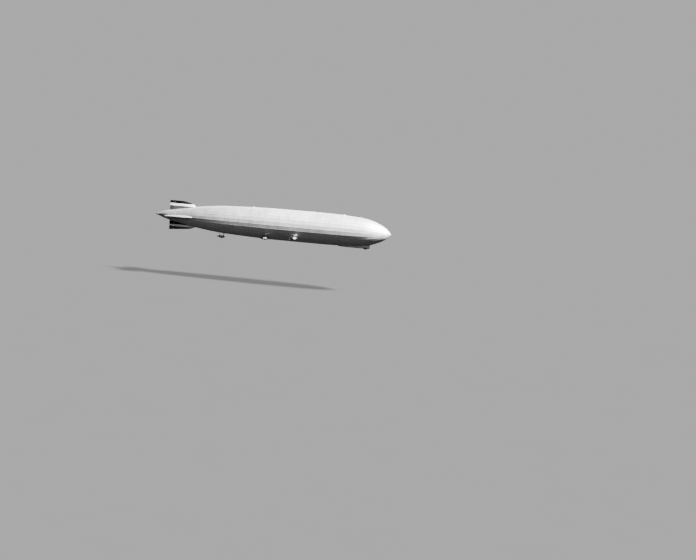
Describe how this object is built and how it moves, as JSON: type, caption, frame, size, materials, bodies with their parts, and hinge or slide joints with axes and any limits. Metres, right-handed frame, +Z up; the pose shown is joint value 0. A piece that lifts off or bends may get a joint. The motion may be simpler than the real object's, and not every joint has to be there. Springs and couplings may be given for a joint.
{
  "type": "rigid passenger airship, 1:10 scale model",
  "caption": "Rigid passenger airship at one tenth scale: ribbed cigar hull, cross fins, a cabin under the bow and pusher engine cars slung below.",
  "frame": {"origin": "on the hull's axis at its centre of lift, 10.46 m behind the tip of the nose, where the air holds the ship up", "axes": "+X forward along the hull, +Y to port, +Z up"},
  "size_m": [23.72, 3.103, 3.3715],
  "materials": {
    "skin": "aluminium-doped cotton, laced panels over lengthwise girders",
    "nose": "satin metal cap",
    "fin_plain": "aluminium-doped cotton over ribs",
    "fin_striped": "aluminium-doped cotton with black, white and dark grey bands",
    "car": "riveted sheet, aluminium paint",
    "iron": "dark oily castings",
    "radiator": "dull core behind shutters",
    "propeller_wood": "varnished laminated wood with metal tips",
    "bumper": "dusty rubberised canvas",
    "cabin_skin": "aluminium-doped fabric over a light frame",
    "glass": "clear panes",
    "cabin_inside": "light partitions and boards"
  },
  "bodies": {
    "ship": {"nose_cap": "nose", "envelope_bow": "skin", "envelope_1": "skin", "envelope_2": "skin", "envelope_3": "skin", "envelope_4": "skin", "envelope_5": "skin", "envelope_6": "skin", "envelope_7": "skin", "envelope_stern": "skin", "tail_cone": "skin", "fin_top": "fin_striped", "fin_bottom": "fin_striped", "fin_port": "fin_plain", "fin_starboard": "fin_plain", "car_fore_port": "car", "car_fore_starboard": "car", "car_aft_port": "car", "car_aft_starboard": "car", "car_stern": "car", "engine_fore_port": "iron", "engine_fore_starboard": "iron", "engine_aft_port": "iron", "engine_aft_starboard": "iron", "engine_stern": "iron", "radiator_fore_port": "radiator", "radiator_fore_starboard": "radiator", "radiator_aft_port": "radiator", "radiator_aft_starboard": "radiator", "radiator_stern": "radiator", "bumper_stern": "bumper", "bumper_bow": "bumper", "cabin_front": "cabin_skin", "cabin_wall_port": "cabin_skin", "cabin_wall_starboard": "cabin_skin", "cabin_stern": "cabin_skin", "cabin_tray_front": "cabin_skin", "cabin_tray": "cabin_skin", "glass_front": "glass", "glass_port_fore": "glass", "glass_port_rear": "glass", "glass_starboard_fore": "glass", "glass_starboard_middle": "glass", "glass_starboard_rear": "glass", "cabin_partitions_fore": "cabin_inside", "cabin_floor": "cabin_inside", "cabin_partitions_rear": "cabin_inside"},
    "rudder_top": {"rudder_top": "fin_striped"},
    "rudder_bottom": {"rudder_bottom": "fin_striped"},
    "elevator_port": {"elevator_port": "fin_plain"},
    "elevator_starboard": {"elevator_starboard": "fin_plain"},
    "propeller_fore_port": {"propeller_fore_port": "propeller_wood"},
    "propeller_fore_starboard": {"propeller_fore_starboard": "propeller_wood"},
    "propeller_aft_port": {"propeller_aft_port": "propeller_wood"},
    "propeller_aft_starboard": {"propeller_aft_starboard": "propeller_wood"},
    "propeller_stern": {"propeller_stern": "propeller_wood"},
    "door": {"cabin_door": "cabin_skin", "glass_door": "glass"}
  },
  "joints": [
    {"name": "rudder_top_turn", "type": "hinge", "parent": "ship", "child": "rudder_top", "pos_m": [-11.3, 0, 1.06], "axis": [0, 0, 1], "range_deg": [-20, 20]},
    {"name": "rudder_bottom_turn", "type": "hinge", "parent": "ship", "child": "rudder_bottom", "pos_m": [-11.3, 0, -1.02], "axis": [0, 0, 1], "range_deg": [-20, 20]},
    {"name": "elevator_port_turn", "type": "hinge", "parent": "ship", "child": "elevator_port", "pos_m": [-11.3, 1.06, 0], "axis": [0, 1, 0], "range_deg": [-15, 15]},
    {"name": "elevator_starboard_turn", "type": "hinge", "parent": "ship", "child": "elevator_starboard", "pos_m": [-11.3, -1.06, 0], "axis": [0, 1, 0], "range_deg": [-15, 15]},
    {"name": "propeller_fore_port_spin", "type": "hinge", "parent": "ship", "child": "propeller_fore_port", "pos_m": [0.97, 1.43, -1.095], "axis": [1, 0, 0], "continuous": true},
    {"name": "propeller_fore_starboard_spin", "type": "hinge", "parent": "ship", "child": "propeller_fore_starboard", "pos_m": [0.97, -1.43, -1.095], "axis": [1, 0, 0], "continuous": true},
    {"name": "propeller_aft_port_spin", "type": "hinge", "parent": "ship", "child": "propeller_aft_port", "pos_m": [-2.03, 1.19, -1.35], "axis": [1, 0, 0], "continuous": true},
    {"name": "propeller_aft_starboard_spin", "type": "hinge", "parent": "ship", "child": "propeller_aft_starboard", "pos_m": [-2.03, -1.19, -1.35], "axis": [1, 0, 0], "continuous": true},
    {"name": "propeller_stern_spin", "type": "hinge", "parent": "ship", "child": "propeller_stern", "pos_m": [-6.73, 0, -1.675], "axis": [1, 0, 0], "continuous": true},
    {"name": "door_swing", "type": "hinge", "parent": "ship", "child": "door", "pos_m": [7.63, -0.296, -1.41], "axis": [0, 0, 1], "range_deg": [0, 95]}
  ],
  "couplings": [
    {"joint": "rudder_bottom_turn", "follows": "rudder_top_turn", "ratio": 1},
    {"joint": "elevator_starboard_turn", "follows": "elevator_port_turn", "ratio": 1}
  ]
}
